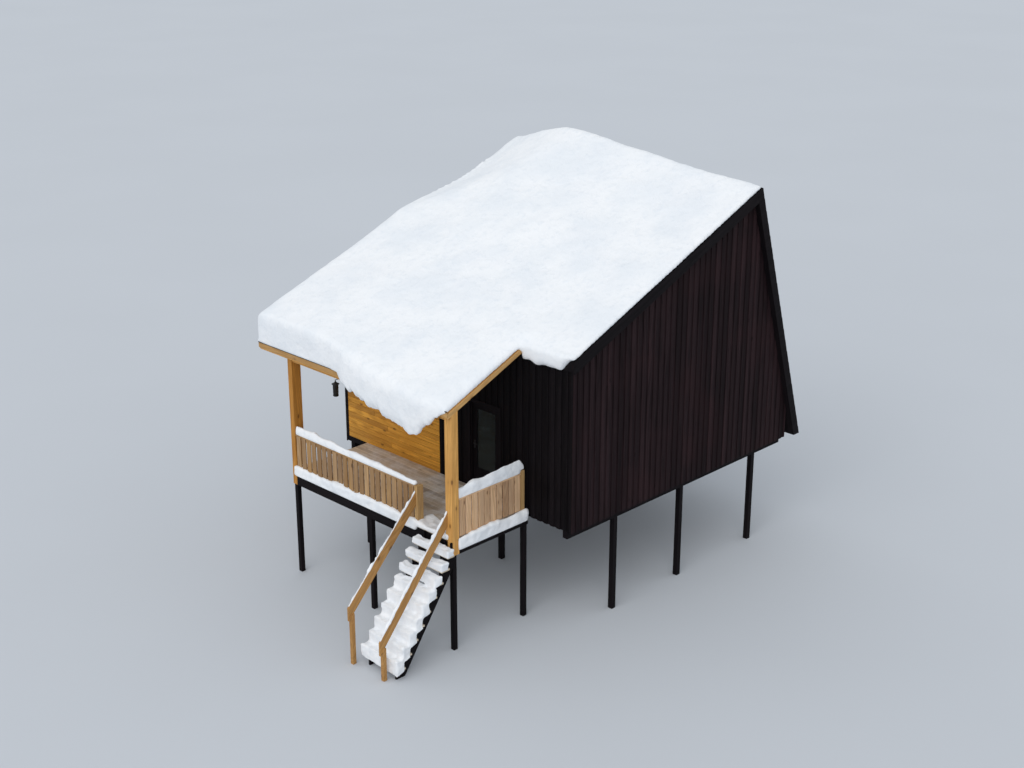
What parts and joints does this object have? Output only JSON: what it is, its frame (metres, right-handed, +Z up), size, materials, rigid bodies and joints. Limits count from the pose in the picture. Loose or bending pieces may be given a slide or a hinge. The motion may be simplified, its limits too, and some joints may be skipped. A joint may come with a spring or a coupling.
{
  "type": "asymmetric raised cabin with porch",
  "caption": "Black boarded cabin on piers, its long low roof slope under deep snow running on over a pine side porch, with railings and open stairs",
  "frame": {"origin": "Middle of the ground footprint, on the level that the piers stand on", "axes": "X from the stairs to the steep roof side, Y along the ridge away from the near gable, Z up"},
  "size_m": [12.7245, 7.97, 9.8974],
  "materials": {
    "black_timber": "black stained timber, dull",
    "gable_boards": "brown-black stained vertical boards",
    "black_boards": "black stained vertical boards",
    "orange_pine": "oiled orange pine",
    "pale_pine": "weathered pale pine",
    "deck_timber": "grey-brown weathered deck timber",
    "roof_slabs": "dark roof boarding and felt",
    "door_glass": "dark door glass",
    "black_metal": "black painted metal",
    "snow": "settled snow, matt and soft"
  },
  "bodies": {
    "root": {"piers": "black_timber", "girders": "black_timber", "house_floor": "black_timber", "near_gable_wall": "gable_boards", "far_gable_wall": "gable_boards", "porch_side_wall_near": "black_boards", "porch_side_wall_over_door": "black_boards", "porch_side_wall_far": "black_boards", "steep_side_wall": "black_boards", "wall_lining": "orange_pine", "corner_strips": "black_timber", "door_frame": "black_timber", "door_leaf": "black_timber", "door_glass": "door_glass", "low_roof": "roof_slabs", "steep_roof": "roof_slabs", "porch_roof": "orange_pine", "porch_rafters": "orange_pine", "porch_beam": "orange_pine", "near_barge_boards": "black_timber", "far_barge_boards": "black_timber", "porch_rake_boards": "orange_pine", "porch_fascia": "orange_pine", "near_roof_post": "orange_pine", "far_roof_post": "orange_pine", "deck_rim_boards": "black_timber", "deck_joists": "black_timber", "deck_boards": "deck_timber", "deck_posts": "black_timber", "long_railing": "pale_pine", "near_railing": "pale_pine", "railing_newels": "orange_pine", "stringers": "black_timber", "treads": "deck_timber", "near_handrail": "pale_pine", "far_handrail": "pale_pine", "lantern": "black_metal", "house_roof_snow": "snow", "porch_roof_snow": "snow", "railing_snow": "snow", "tread_snow": "snow"}
  },
  "joints": []
}
